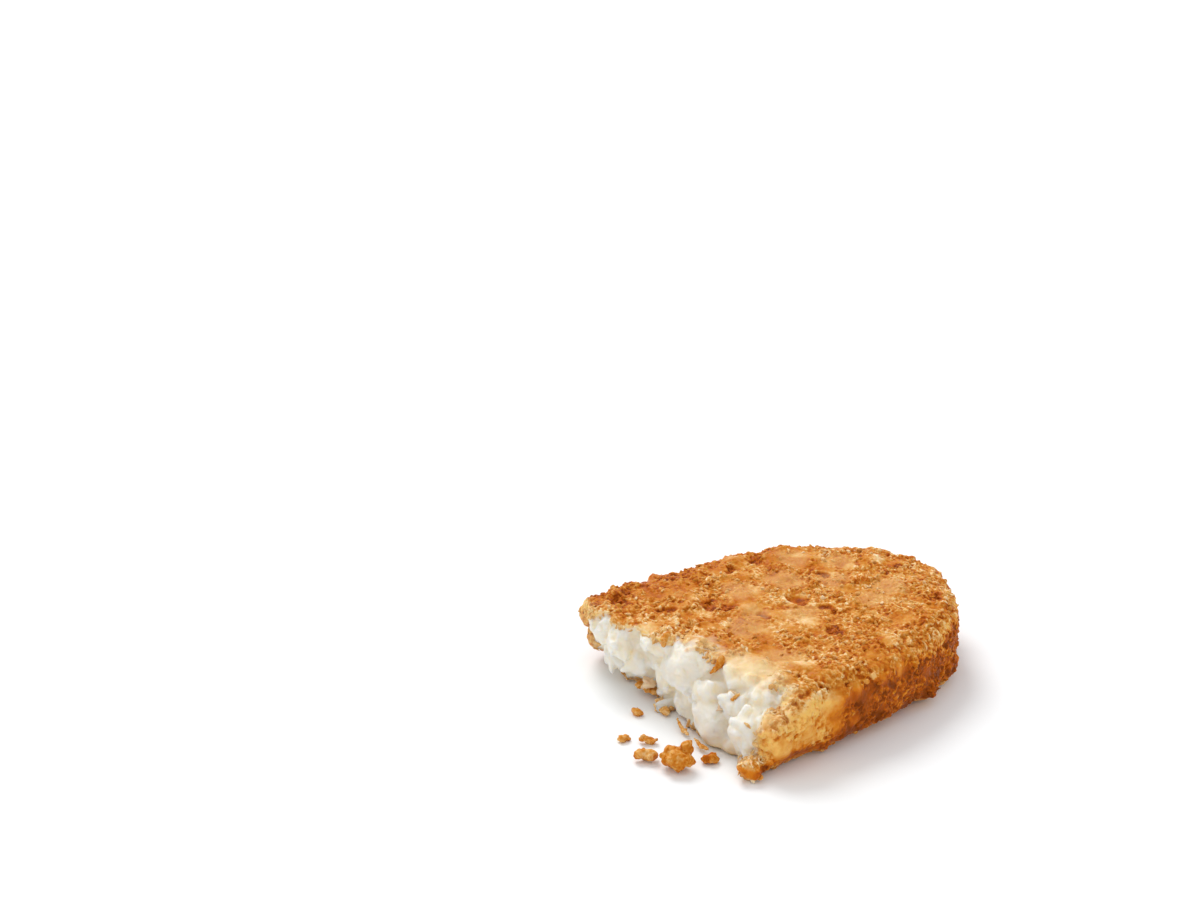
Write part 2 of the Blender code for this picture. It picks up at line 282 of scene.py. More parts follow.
def under_crust(points):
    """How deep each point lies under the pressed surface of the whole patty."""
    along = np.abs(points[:, 0] - WHOLE_MIDDLE) / PATTY_HALF_LENGTH
    across = np.abs(points[:, 1]) / PATTY_HALF_WIDTH
    rim = (along ** OUTLINE_POWER + across ** OUTLINE_POWER) ** (1.0 / OUTLINE_POWER) + TINY
    slope = np.hypot(
        (along / rim) ** (OUTLINE_POWER - 1.0) / PATTY_HALF_LENGTH,
        (across / rim) ** (OUTLINE_POWER - 1.0) / PATTY_HALF_WIDTH,
    )
    from_rim = (1.0 - rim) / slope
    from_face = np.minimum(points[:, 2], PATTY_HEIGHT - points[:, 2])
    corner = np.hypot(np.maximum(SHOULDER - from_rim, 0.0), np.maximum(SHOULDER - from_face, 0.0))
    on_shoulder = (from_rim < SHOULDER) & (from_face < SHOULDER)
    return np.where(on_shoulder, SHOULDER - corner, np.minimum(from_rim, from_face))


def stretch_share(points, middle, reach):
    """How near each point is, across the patty, to a stretch of the break: 1 at its middle."""
    return np.exp(-(((points[:, 1] / MM - middle) / reach) ** 2))


def soft_share(points):
    """Where soft potato shows: 1 in the torn face, 0 on the crust."""
    wander = 0.8 * MM * mottle(points, 2.4 * MM, 1) + 0.4 * MM * mottle(points, 1.0 * MM, 14)
    behind = past_break(points)
    steamed = stretch_share(points, *STEAMED_STRETCH)
    at_back = ramp(points[:, 1], 19.0 * MM, 25.0 * MM)
    high_up = ramp(points[:, 2], 9.0 * MM, 14.0 * MM)
    rim = np.interp(points[:, 2] / PATTY_HEIGHT, RIM_HEIGHTS, RIM_THICKNESS) * MM
    rim *= 0.2 + 0.8 * ramp(behind + wander, -3.0 * MM, -1.0 * MM) * (1.0 - steamed)
    rim *= 1.0 - 0.9 * stretch_share(points, *BIG_LUMP_STRETCH)
    rim += THICK_CORNER * MM * at_back * high_up
    fade = (0.8 + 2.2 * steamed) * MM
    near_break = 1.0 - ramp(behind + 2.0 * wander, *TORN_DEPTH)
    in_from_back = 1.0 - ramp(points[:, 1] + 1.8 * wander, *BACK_CORNER)
    in_from_front = ramp(points[:, 1] + 1.6 * wander, *FRONT_CORNER)
    return ramp(under_crust(points) + wander, rim, rim + fade) * near_break * in_from_back * in_from_front


def shape_of(mesh):
    """The mesh's points and the directions that they face."""
    points = np.empty(len(mesh.vertices) * 3)
    facing = np.empty(len(mesh.vertices) * 3)
    mesh.vertices.foreach_get("co", points)
    mesh.vertices.foreach_get("normal", facing)
    return points.reshape(-1, 3), facing.reshape(-1, 3)


def spread(mesh, values, passes):
    """Blurs a value over the surface, each pass by about one edge."""
    ends = np.empty(len(mesh.edges) * 2, np.int32)
    mesh.edges.foreach_get("vertices", ends)
    first, second = ends.reshape(-1, 2).T
    count = len(values)
    near = np.bincount(first, minlength=count) + np.bincount(second, minlength=count)
    for _ in range(passes):
        total = np.bincount(first, values[second], count) + np.bincount(second, values[first], count)
        values = 0.5 * values + 0.5 * total / near
    return values


def worn_away(mesh, passes):
    """The mesh's points with its bumps worn away."""
    points, _ = shape_of(mesh)
    return np.stack([spread(mesh, part, passes) for part in points.T], axis=1)


def above_table(points):
    """The points, with those that lie below the table top lifted to it."""
    return np.maximum(points, (-np.inf, -np.inf, 0.0))


def move_points(mesh, points):
    """Moves the mesh's points to new places, none of them below the table top."""
    mesh.vertices.foreach_set("co", above_table(points).ravel())
    mesh.update()


def note(mesh, name, values):
    """Keeps a value for each point of the mesh, for its finish to read."""
    kept = mesh.attributes.new(name, "FLOAT", "POINT")
    kept.data.foreach_set("value", np.clip(values, 0.0, 1.0).astype(np.float32))


def note_all(mesh, **values):
    """Keeps all the values that the fried finish reads, each between 0 and 1. One left out is 0."""
    for name in FINISH_READS:
        note(mesh, name, np.broadcast_to(values.get(name, 0.0), len(mesh.vertices)))


def soft_block(target, centre, size, spin, uneven, squareness, fineness):
    """Adds an uneven block with rounded corners."""
    for vert in bmesh.ops.create_icosphere(target, subdivisions=fineness, radius=0.5)["verts"]:
        swell = 1.0 + uneven * noise.noise(vert.co * LUMP_DENTS + centre / MM)
        swell *= 0.5 / sum(abs(share) ** squareness for share in vert.co) ** (1.0 / squareness)
        vert.co = centre + spin @ (vert.co * size) * swell


def potato_lump(target, across, height, wide, high, deep, proud):
    """Adds a soft, uneven lump of cooked potato to the torn face."""
    face = break_at(across * MM, height * MM)
    centre = Vector((face + (deep / 2.0 - proud) * MM, across * MM, height * MM))
    turn = [noise.noise(centre / MM + Vector((shift, 0.0, 0.0))) for shift in (0.0, 20.0, 40.0)]
    spin = Euler(LUMP_TURN * Vector(turn)).to_matrix()
    size = Vector((deep, wide, high)) * MM
    soft_block(target, centre, size, spin, LUMP_UNEVEN, LUMP_SQUARENESS, 4)


def shred_bits(target, rng):
    """Adds small blocks of shredded potato, each mostly sunk in the torn face."""
    face = BVHTree.FromBMesh(target)
    outside = cad_low.x - WHOLE_MIDDLE - 10.0 * MM
    for _ in range(SHRED_BITS):
        place = Vector((outside, rng.uniform(*BIT_ACROSS) * MM, rng.uniform(*BIT_HEIGHT) * MM))
        if any(math.hypot(place.y / MM - y, place.z / MM - z) < radius for y, z, radius in SMOOTH_LUMPS):
            continue
        size = Vector([rng.uniform(*span) for span in (BIT_LENGTH, BIT_WIDTH, BIT_DEPTH)])
        proud = rng.uniform(*BIT_PROUD)
        tilt = [rng.uniform(-BIT_TILT, BIT_TILT) for _ in range(2)]
        spin = Euler((*tilt, rng.uniform(0.0, math.pi)))
        spot, out, _, _ = face.ray_cast(place, Vector((1.0, 0.0, 0.0)))
        centre = spot + out * (proud - size.z / 2.0)
        lie = out.to_track_quat("Z", "Y").to_matrix() @ spin.to_matrix()
        soft_block(target, centre, size, lie, BIT_UNEVEN, BIT_SQUARENESS, 3)


def even_mesh(body, name, cell):
    """Melts overlapping forms into one object with a fine, even mesh."""
    mesh = bpy.data.meshes.new(name)
    body.to_mesh(mesh)
    body.free()
    thing = bpy.data.objects.new(name, mesh)
    bpy.context.scene.collection.objects.link(thing)
    remesh = thing.modifiers.new("even_mesh", "REMESH")
    remesh.mode = "VOXEL"
    remesh.voxel_size = cell
    bpy.context.view_layer.update()
    seen = bpy.context.evaluated_depsgraph_get()
    thing.data = bpy.data.meshes.new_from_object(thing.evaluated_get(seen), depsgraph=seen)
    thing.modifiers.clear()
    return thing


def fine_skin(solid, name, rng):
    """A fine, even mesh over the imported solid, with lumps and bits of shred in its torn face."""
    body = bmesh.new()
    body.from_mesh(solid.data)
    places = np.array([vert.co for vert in body.verts])
    set_back = BETWEEN_LUMPS * soft_share(places)
    for vert, step in zip(body.verts, set_back):
        vert.co.x += step - WHOLE_MIDDLE
    for lump in TORN_LUMPS:
        potato_lump(body, *lump)
    shred_bits(body, rng)
    body.transform(Matrix.Translation((WHOLE_MIDDLE, 0.0, 0.0)))
    return even_mesh(body, name, SKIN_CELL)


# The crust: smooth chunks that show through it, crags of crisp batter between them, grains and pits
CHUNK_COUNT = 110
CHUNK_RADIUS = (1.7 * MM, 3.2 * MM)
CHUNK_SLIMNESS = (1.0, 1.6)
CHUNK_SPACING = 5.2 * MM
CHUNK_RISE = 0.30 * MM
CRAG_SIZE = 1.20 * MM
CRAG_HEIGHT = 0.35 * MM
GRAIN_SIZE = 0.85 * MM
GRAIN_HEIGHT = 0.28 * MM
PIT_DEPTH = 0.55 * MM
PROUD_PASSES = 10  # how widely the surface is evened out, to tell what stands proud of it
PROUD_HEIGHT = 0.25 * MM
BULGE_HEIGHT = 0.30 * MM

# Smooth chunks that show on the front side, in millimetres: along, height
FRONT_CHUNKS = ((9.1, 11.2), (16.4, 11.8), (22.9, 11.0), (2.2, 7.6), (28.4, 11.4), (15.0, 5.6), (-4.0, 5.0))

# Smooth tan patches and browned pits in the top crust, in millimetres: along, across, radius
SMOOTH_PATCHES = (
    (21.9, 11.5, 5.0), (32.2, 9.7, 5.0), (12.0, -2.1, 5.0), (40.3, 4.5, 4.2), (47.0, -5.6, 4.2),
    (24.7, -3.4, 4.6), (40.9, 17.4, 4.6), (47.6, 10.5, 4.0), (8.5, -16.5, 5.2), (41.1, -7.0, 4.0),
    (17.5, 2.0, 4.0),
)
BROWNED_PITS = (
    (18.0, -0.2, 2.2), (15.0, 6.9, 2.4), (12.8, 10.4, 2.7), (25.5, -13.2, 2.0), (28.6, 1.4, 2.2),
    (30.3, -5.6, 2.0), (40.3, 7.5, 1.8), (15.2, -14.6, 1.8), (55.4, 2.3, 2.2), (34.1, 21.6, 2.6),
    (26.8, 19.9, 2.2), (50.3, -14.0, 2.2), (-1.0, 22.0, 2.6), (4.0, 14.0, 2.0), (3.0, 25.0, 2.2),
)


def spot_share(points, spots, seed):
    """1 in the middle of the nearest of some uneven round spots, 0 past its rim."""
    bent = [points[:, axis] + 1.2 * MM * mottle(points, 2.6 * MM, seed + axis) for axis in (0, 1)]
    nearest = np.full(len(points), np.inf)
    for along, across, radius in spots:
        far = np.hypot(bent[0] - WHOLE_MIDDLE - along * MM, bent[1] - across * MM) / (radius * MM)
        nearest = np.minimum(nearest, far)
    return 1.0 - ramp(nearest, 0.5, 1.1)


def chunk_pattern(points, facing, seeds, rng):
    """Which smooth chunk is nearest to each point, and 1 where the point is on it, 0 where it is off it."""
    nearest = np.full(len(points), np.inf)
    owner = np.zeros(len(points), int)
    for number, seed in enumerate(seeds):
        heading = rng.normal(size=3)
        length = rng.uniform(*CHUNK_RADIUS)
        width = length / rng.uniform(*CHUNK_SLIMNESS)
        along = np.cross(facing[seed], heading)
        along /= np.linalg.norm(along)
        across = np.cross(facing[seed], along)
        offset = points - points[seed]
        flat = np.hypot(offset @ along / length, offset @ across / width)
        far = np.hypot(flat, offset @ facing[seed] / (2.0 * width))
        closer = far < nearest
        owner[closer] = number
        nearest = np.minimum(nearest, far)
    return owner, 1.0 - ramp(nearest, 0.55, 1.15)


def spaced_picks(points, allowed, count, spacing, rng):
    """Seeded picks among the allowed points, kept a spacing apart."""
    picks = []
    places = np.empty((0, 3))
    for index in rng.permutation(np.flatnonzero(allowed)):
        if len(picks) == count:
            break
        if not len(picks) or ((places - points[index]) ** 2).sum(axis=1).min() > spacing ** 2:
            picks.append(index)
            places = np.vstack((places, points[index]))
    return picks


rng = np.random.default_rng(11)
patty = fine_skin(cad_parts["hash_brown"], "patty", rng)
points, _ = shape_of(patty.data)
soft = soft_share(points)[:, None]
points = points + (worn_away(patty.data, CRUST_PASSES) - points) * (1.0 - soft)
points = points + (worn_away(patty.data, POTATO_PASSES) - points) * soft
move_points(patty.data, points)
points, facing = shape_of(patty.data)
bulge = ((points - worn_away(patty.data, BULGE_PASSES)) * facing).sum(axis=1)
soft = soft_share(points)
crust = 1.0 - soft
behind = past_break(points)
height = points[:, 2] / PATTY_HEIGHT
along = points[:, 0] - WHOLE_MIDDLE

# Crust that steamed beside the break stays pale, most of all near the front corner
wander = MM * mottle(points, 2.4 * MM, 21)
steamed = stretch_share(points, *STEAMED_STRETCH)
pale_reach = (3.5 + 6.0 * steamed) * MM
pale = (1.0 - ramp(behind + 1.3 * wander, -1.0 * MM, pale_reach)) * (0.36 + 0.64 * steamed)
pale *= 1.0 - ramp(-points[:, 1], 24.0 * MM, 28.0 * MM) * (1.0 - ramp(height, 0.4, 0.9))

# Smooth chunks of potato that show through the crust and stand a little proud of it
front_side = np.array([(WHOLE_MIDDLE + x * MM, -PATTY_HALF_WIDTH, z * MM) for x, z in FRONT_CHUNKS])
seeds = [int(((points - place) ** 2).sum(axis=1).argmin()) for place in front_side]
clear = np.min([((points - place) ** 2).sum(axis=1) for place in front_side], axis=0) > CHUNK_SPACING ** 2
seeds += spaced_picks(points, (soft < 0.3) & clear, CHUNK_COUNT, CHUNK_SPACING, rng)
bent = points + 0.9 * MM * np.stack([mottle(points, 2.4 * MM, seed) for seed in (2, 3, 4)], axis=1)
bent += 0.5 * MM * np.stack([mottle(points, 0.9 * MM, seed) for seed in (15, 16, 17)], axis=1)
owner, on_chunk = chunk_pattern(bent, facing, seeds, rng)
chunk_rise = rng.uniform(0.2, 1.0, len(seeds))
chunk_tone = rng.normal(0.0, 1.0, len(seeds))

# Parts of the crust, each from 0, off it, to 1, on it
on_top = ramp(facing[:, 2], 0.35, 0.8)
on_side = 1.0 - ramp(np.abs(facing[:, 2]), 0.35, 0.8)
on_shoulder = ramp(height, 0.62, 0.82) * (1.0 - on_top)
above_foot = ramp(height, 0.10, 0.34)
patches = spot_share(points, SMOOTH_PATCHES, 31) * on_top
pits = spot_share(points, BROWNED_PITS, 41) * on_top
far_half = ramp(along, 28.0 * MM, 42.0 * MM)
far_end = ramp(along, 40.0 * MM, 54.0 * MM)
towards_back = ramp(points[:, 1], 14.0 * MM, 31.0 * MM)
at_back = ramp(points[:, 1], 22.0 * MM, 27.0 * MM) * (1.0 - ramp(behind, 2.0 * MM, 7.0 * MM))
front_foot = ramp(-points[:, 1], 23.0 * MM, 27.0 * MM) * (1.0 - ramp(behind, 0.0, 3.0 * MM))
front_foot *= 1.0 - ramp(height, 0.25, 0.45)
crisp_by_break = 1.0 - ramp(behind, 6.0 * MM, 20.0 * MM)
rim_by_break = 1.0 - ramp(behind, 0.0, 6.0 * MM)
side_by_break = 1.0 - ramp(behind, 3.0 * MM, 24.0 * MM)
top_by_break = 1.0 - ramp(behind, 4.0 * MM, 16.0 * MM)

# Crisp batter: between the chunks, more on the shoulders and at the far end than down the side
crisp_lean = 0.20 * on_top + 0.40 * on_shoulder + 0.05 * on_side * (1.0 - on_shoulder) * (1.0 - far_end)
crisp = 0.55 + 0.50 * mottle(points, 4.2 * MM, 5) + 0.30 * mottle(points, 1.9 * MM, 6) + crisp_lean
crisp += 0.75 * far_half * on_side + 0.60 * at_back
crisp -= 0.12 * on_side * crisp_by_break * (1.0 - at_back)
crisp -= 0.75 * on_chunk * (1.0 - 0.5 * on_top) * (1.0 - 0.8 * far_end)
crisp = ramp(crisp, 0.15, 0.90) * crust * (1.0 - 0.55 * patches) * (1.0 - ramp(pale, 0.35, 0.85))

# How far the surface stands out: chunks, broad unevenness, crags and grains, pits, and torn flakes
crag = 1.0 - 1.6 * np.abs(mottle(points, CRAG_SIZE, 7) + 0.6 * mottle(points, 0.55 * CRAG_SIZE, 8))
lift = crust * CHUNK_RISE * chunk_rise[owner] * on_chunk * (1.0 - 0.5 * on_top)
lift += crust * (0.22 * MM * mottle(points, 2.8 * MM, 18) + 0.09 * MM * mottle(points, 1.3 * MM, 19))
lift += crisp * CRAG_HEIGHT * crag
grains = ramp(mottle(points, GRAIN_SIZE, 24), -0.1, 0.5)
lift += (0.30 * crust * (1.0 - 0.8 * pale) + 0.70 * crisp) * GRAIN_HEIGHT * grains
lift -= PIT_DEPTH * pits
flaky = 0.35 + 0.65 * ramp(mottle(points, 6.0 * MM, 23), -0.3, 0.3)
flakes_relief = facets(bent, FACET_SIZE, 9) + 0.25 * facets(bent, 0.4 * FACET_SIZE, 12)
lift += soft * flaky * FACET_DEPTH * spread(patty.data, flakes_relief, 2)
move_points(patty.data, points + facing * lift[:, None])
patty.data.shade_smooth()

# How brown the crust is: from 0, pale cream, to 1, dark brown. Chunks, the shoulder and the crust by the
# break are paler. Crags and what stands proud are paler too: partly the crust's own crisp tone and partly a
# painted highlight on their tops. Pits, the side, its foot and the back are browner.
proud = np.clip((lift - spread(patty.data, lift, PROUD_PASSES)) / PROUD_HEIGHT, -1.0, 1.0)
toast = 0.52 +0.12 * crisp + (0.06 * chunk_tone[owner] - 0.12) * on_chunk
toast += 0.12 * mottle(points, 6.0 * MM, 10) + (0.13 + 0.05 * on_side) * mottle(points, 2.2 * MM, 11)
toast += 0.10 * on_side * mottle(points, 1.1 * MM, 22)
toast -= 0.12 * crisp * np.clip(crag, -1.0, 1.0) + 0.18 * proud
toast += 0.46 * pits * (1.0 + 0.6 * mottle(points, 1.5 * MM, 45)) - 0.02 * patches
toast += 0.30 * on_side * (1.0 - above_foot) * (1.0 - 0.9 * front_foot)
toast += 0.33 * on_side - 0.42 * on_shoulder - 0.05 * on_side * far_end
toast += 0.22 * towards_back + 0.14 * at_back - 0.18 * front_foot
toast -= 0.12 * rim_by_break * (1.0 - at_back) * (1.0 - front_foot)
toast -= 0.70 * on_side * side_by_break * above_foot
toast -= 0.16 * on_top * steamed * top_by_break
# The cream share paints a warm glow into the torn face's creases, where the face sinks below its broad
# bulges, as light shining through the potato would. By the steamed stretch it adds the potato's own cream
# at the top of the face.
note_all(
    patty.data,
    toast=toast,
    crisp=crisp,
    amber=on_side * crust,
    soft=soft,
    pale=np.maximum(pale, 0.22 * patches),
    shade=0.5 - 0.5 * bulge / BULGE_HEIGHT + 0.7 * steamed * ramp(height, 0.65, 1.0),
)


def put(tree, kind, inputs=(), **settings):
    """Adds a shader node. An input is a plain value, or another node's output."""
    node = tree.nodes.new(kind)
    for name, value in settings.items():
        setattr(node, name, value)
    for name, value in dict(inputs).items():
        if isinstance(value, bpy.types.NodeSocket):
            tree.links.new(value, node.inputs[name])
        else:
            node.inputs[name].default_value = value
    return node


def colour_steps(tree, factor, steps):
    """A colour ramp through (place, colour) steps."""
    node = put(tree, "ShaderNodeValToRGB", {"Fac": factor})
    marks = node.color_ramp.elements
    while len(marks) < len(steps):
        marks.new(0.5)
    for mark, (place, colour) in zip(marks, steps):
        mark.position = place
        mark.color = (*colour, 1.0)
    return node.outputs["Color"]


def sums(tree, first, second, operation="ADD", clamp=False):
    """Two values added, or joined by another operation, and kept between 0 and 1 where asked."""
    node = put(tree, "ShaderNodeMath", {0: first, 1: second}, operation=operation, use_clamp=clamp)
    return node.outputs["Value"]


def times(tree, first, second):
    """Two values multiplied."""
    return sums(tree, first, second, "MULTIPLY")


def mixed(tree, share, first, second):
    """A colour that goes from the first to the second as the share goes from 0 to 1."""
    node = put(tree, "ShaderNodeMix", data_type="RGBA")
    for number, value in ((0, share), (6, first), (7, second)):
        if isinstance(value, bpy.types.NodeSocket):
            tree.links.new(value, node.inputs[number])
        else:
            node.inputs[number].default_value = value
    return node.outputs[2]


def grain(tree, size, detail, waviness=0.0):
    """Random values round 0 that change over about one size."""
    inputs = {
        "Vector": put(tree, "ShaderNodeTexCoord").outputs["Object"],
        "Scale": 1.0 / size,
        "Detail": detail,
        "Distortion": waviness,
    }
    return sums(tree, put(tree, "ShaderNodeTexNoise", inputs).outputs["Fac"], 0.5, "SUBTRACT")


def ridges(tree, size, sharpness):
    """Thin wavy ridges, 1 at their tops and 0 between them."""
    wave = put(tree, "ShaderNodeMath", {0: grain(tree, size, 2.5, 0.6)}, operation="ABSOLUTE")
    return sums(tree, 1.0, times(tree, wave.outputs["Value"], sharpness), "SUBTRACT", clamp=True)


# Colours of the crust as it browns: on the top, and the more amber ones of the side
TOAST_COLOURS = (
    (0.00, (0.90, 0.70, 0.43)),
    (0.20, (0.74, 0.43, 0.155)),
    (0.40, (0.60, 0.240, 0.032)),
    (0.60, (0.51, 0.145, 0.009)),
    (0.80, (0.40, 0.085, 0.004)),
    (1.00, (0.22, 0.042, 0.003)),
)
AMBER_COLOURS = (
    (0.00, (0.87, 0.52, 0.14)),
    (0.42, (0.67, 0.212, 0.012)),
    (0.66, (0.46, 0.100, 0.005)),
    (1.00, (0.22, 0.048, 0.004)),
)
CREAM = (0.74, 0.545, 0.275, 1.0)
POTATO_WHITE = (0.765, 0.745, 0.69, 1.0)
# The potato's cream: its own by the steamed stretch and on the flakes, and a painted warm glow in the
# creases of the torn face
POTATO_CREAM_AND_CREASE_GLOW = (0.92, 0.80, 0.56, 1.0)
CRUST_GLOW = (1.0, 0.45, 0.16, 1.0)
POTATO_GLOW = (1.0, 0.85, 0.62, 1.0)
GLOW_DEPTH = 1.0 * MM
EXTRA_POTATO_DEPTH = 2.0 * MM
FRIED_ROUGHNESS = 0.28
FRIED_SPECULAR = 0.04
WIDE_RIDGES = 1.9 * MM
FINE_RIDGES = 1.0 * MM
RIDGE_SHARPNESS = 6.0
SPECKS = 0.6 * MM
BLOTCHES = 3.5 * MM
BUMP_STRENGTH = 0.6
BUMP_DEPTH = 0.25 * MM


def fried_finish(name):
    """One finish for all the potato: fried crust, soft inside or anything between, as each point says."""
    finish = bpy.data.materials.new(name)
    finish.use_nodes = True
    tree = finish.node_tree
    shader = tree.nodes["Principled BSDF"]
    read = {}
    for kept in FINISH_READS:
        read[kept] = put(tree, "ShaderNodeAttribute", attribute_name=kept).outputs["Fac"]
    wide_ridge = times(tree, ridges(tree, WIDE_RIDGES, RIDGE_SHARPNESS), 0.65)
    ridge = sums(tree, wide_ridge, times(tree, ridges(tree, FINE_RIDGES, RIDGE_SHARPNESS), 0.35))
    speck = grain(tree, SPECKS, 1.5)
    blotch = grain(tree, BLOTCHES, 2.0)
    # Paler ridge tops on the crisp batter: partly its own crisp colour, partly a painted highlight
    ridge_pale_and_highlight = times(tree, read["crisp"], sums(tree, times(tree, ridge, 0.66), 0.29, "SUBTRACT"))
    fleck = times(tree, speck, sums(tree, times(tree, read["crisp"], 0.5), 0.25))
    brown = sums(tree, sums(tree, read["toast"], ridge_pale_and_highlight, "SUBTRACT"), fleck)
    brown = sums(tree, brown, times(tree, blotch, 0.35), clamp=True)
    toasted = colour_steps(tree, brown, TOAST_COLOURS)
    fried = mixed(tree, read["amber"], toasted, colour_steps(tree, brown, AMBER_COLOURS))
    fried = mixed(tree, times(tree, read["pale"], 0.90), fried, CREAM)
    # Painted warm glow: the potato turns creamier and lighter in its creases. By the steamed stretch and on
    # the flakes the cream is its own. Both are mottled in blotches.
    cream_and_glow_share = sums(tree, times(tree, read["shade"], 1.2), 0.30, "SUBTRACT")
    cream_and_glow_share = sums(tree, cream_and_glow_share, times(tree, blotch, 1.2), clamp=True)
    potato = mixed(tree, cream_and_glow_share, POTATO_WHITE, POTATO_CREAM_AND_CREASE_GLOW)
    tree.links.new(mixed(tree, read["soft"], fried, potato), shader.inputs["Base Color"])
    shader.inputs["Roughness"].default_value = FRIED_ROUGHNESS
    shader.inputs["Specular IOR Level"].default_value = FRIED_SPECULAR
    glow = sums(tree, times(tree, read["soft"], 0.45), 0.35)
    glow = times(tree, glow, sums(tree, 1.0, read["loose"], "SUBTRACT"))
    tree.links.new(glow, shader.inputs["Subsurface Weight"])
    tree.links.new(mixed(tree, read["soft"], CRUST_GLOW, POTATO_GLOW), shader.inputs["Subsurface Radius"])
    reach = sums(tree, times(tree, read["soft"], EXTRA_POTATO_DEPTH), GLOW_DEPTH)
    tree.links.new(reach, shader.inputs["Subsurface Scale"])
    relief = sums(tree, times(tree, ridge, read["crisp"]), times(tree, speck, 0.8))
    relief_inputs = {"Strength": BUMP_STRENGTH, "Distance": BUMP_DEPTH, "Height": relief}
    bump = put(tree, "ShaderNodeBump", relief_inputs)
    tree.links.new(bump.outputs["Normal"], shader.inputs["Normal"])
    return finish


fried_potato = fried_finish("fried_potato")
patty.data.materials.clear()
patty.data.materials.append(fried_potato)
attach(patty, "root")
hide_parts("hash_brown")

# ----------------------------------------------------------------------------------- crisp batter
# Specks and short wavy ridges of batter and fine potato that fried crisp on the crust. They are half sunk
# in it, thick along the shoulders and in the hollows between the shreds, and pale where they stand up:
# partly their own crisp colour, partly a painted highlight.

RINGS = 9
RING_SIDES = 6
BATTER_ZONES = {
    # name: lowest and highest share of the patty's height, ridges, nuggets
    "upper": (0.66, 1.3, 260, 850),
    "lower": (-0.2, 0.66, 180, 600),
}
RIDGE_LENGTH = (0.9 * MM, 2.6 * MM)
RIDGE_RADIUS = (0.17 * MM, 0.31 * MM)
RIDGE_FLATNESS = 0.8
RIDGE_BEND = 1.5
RIDGE_SWING = 0.7
RIDGE_TONE = (0.26, 0.10)  # how brown they are, and by how much that differs from one to the next
NUGGET_SIZE = (0.35 * MM, 1.05 * MM)
NUGGET_WAVES = 3
NUGGET_DENTS = 4.5
NUGGET_UNEVEN = 0.16
NUGGET_TONE = (0.36, 0.11)


def any_turns(count, rng):
    """Random rotations, as matrices."""
    q = rng.normal(size=(count, 4))
    w, x, y, z = (q / np.linalg.norm(q, axis=1)[:, None]).T
    return np.stack([
        1 - 2 * (y * y + z * z), 2 * (x * y - z * w), 2 * (x * z + y * w),
        2 * (x * y + z * w), 1 - 2 * (x * x + z * z), 2 * (y * z - x * w),
        2 * (x * z - y * w), 2 * (y * z + x * w), 1 - 2 * (x * x + y * y),
    ], axis=1).reshape(-1, 3, 3)


def joined_bits(name, forms, sides, slot, **values):
    """One piece of many bits: forms has the points of each bit, and all bits have the same sides."""
    count, corners, _ = forms.shape
    faces = (sides[None] + corners * np.arange(count)[:, None, None]).reshape(-1, 3)
    mesh = bpy.data.meshes.new(name)
    mesh.vertices.add(count * corners)
    mesh.vertices.foreach_set("co", above_table(forms).reshape(-1).astype(np.float32))
    mesh.loops.add(len(faces) * 3)
    mesh.loops.foreach_set("vertex_index", faces.reshape(-1).astype(np.int32))
    mesh.polygons.add(len(faces))
    mesh.polygons.foreach_set("loop_start", np.arange(0, len(faces) * 3, 3, dtype=np.int32))
    mesh.update(calc_edges=True)
    mesh.validate()
    values = {kept: np.broadcast_to(value, (count, corners)).ravel() for kept, value in values.items()}
    note_all(mesh, loose=1.0, **values)
    mesh.shade_smooth()
    mesh.materials.append(fried_potato)
    bits = bpy.data.objects.new(name, mesh)
    bpy.context.scene.collection.objects.link(bits)
    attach(bits, "root")


def ridge_sides():
    """The triangles of one ridge: rings of points, closed at both ends."""
    sides = []
    for ring in range(RINGS - 1):
        for k in range(RING_SIDES):
            a = ring * RING_SIDES + k
            b = ring * RING_SIDES + (k + 1) % RING_SIDES
            sides += [(a, b, b + RING_SIDES), (a, b + RING_SIDES, a + RING_SIDES)]
    last = (RINGS - 1) * RING_SIDES
    for k in range(1, RING_SIDES - 1):
        sides += [(0, k + 1, k), (last, last + k, last + k + 1)]
    return np.array(sides)


def ridge_forms(places, out, length, radius, flatness, stand, rng):
    """Bent, tapering ridges that lie on the given places, as points: ridge by ridge, ring by ring."""
    count = len(places)
    share = np.linspace(-1.0, 1.0, RINGS)[None, :]
    bend = rng.uniform(-RIDGE_BEND, RIDGE_BEND, (count, 1))
    swing = rng.uniform(-RIDGE_SWING, RIDGE_SWING, (count, 1))
    heading = rng.uniform(0.0, 2.0 * math.pi, (count, 1)) + bend * share + swing * np.sin(3.0 * share)
    step = length[:, None] / (RINGS - 1)
    x = np.cumsum(np.cos(heading) * step, axis=1)
    y = np.cumsum(np.sin(heading) * step, axis=1)
    x -= x.mean(axis=1, keepdims=True)
    y -= y.mean(axis=1, keepdims=True)
    rise = stand[:, None] + length[:, None] * rng.uniform(-0.10, 0.06, (count, 1)) * share * share
    thick = radius[:, None] * (1.05 - share ** 4) * rng.uniform(0.65, 1.3, (count, RINGS))
    angle = np.arange(RING_SIDES) * 2.0 * math.pi / RING_SIDES
    wide = thick[:, :, None] * np.cos(angle)
    local_x = x[:, :, None] - np.sin(heading)[:, :, None] * wide
    local_y = y[:, :, None] + np.cos(heading)[:, :, None] * wide
    local_z = rise[:, :, None] + flatness * thick[:, :, None] * np.sin(angle)
    first = np.cross(out, rng.normal(size=(count, 3)))
    first /= np.linalg.norm(first, axis=1)[:, None]
    second = np.cross(out, first)
    forms = places[:, None, None, :]
    for share, axis in ((local_x, first), (local_y, second), (local_z, out)):
        forms = forms + share[..., None] * axis[:, None, None, :]
    return forms.reshape(count, -1, 3)


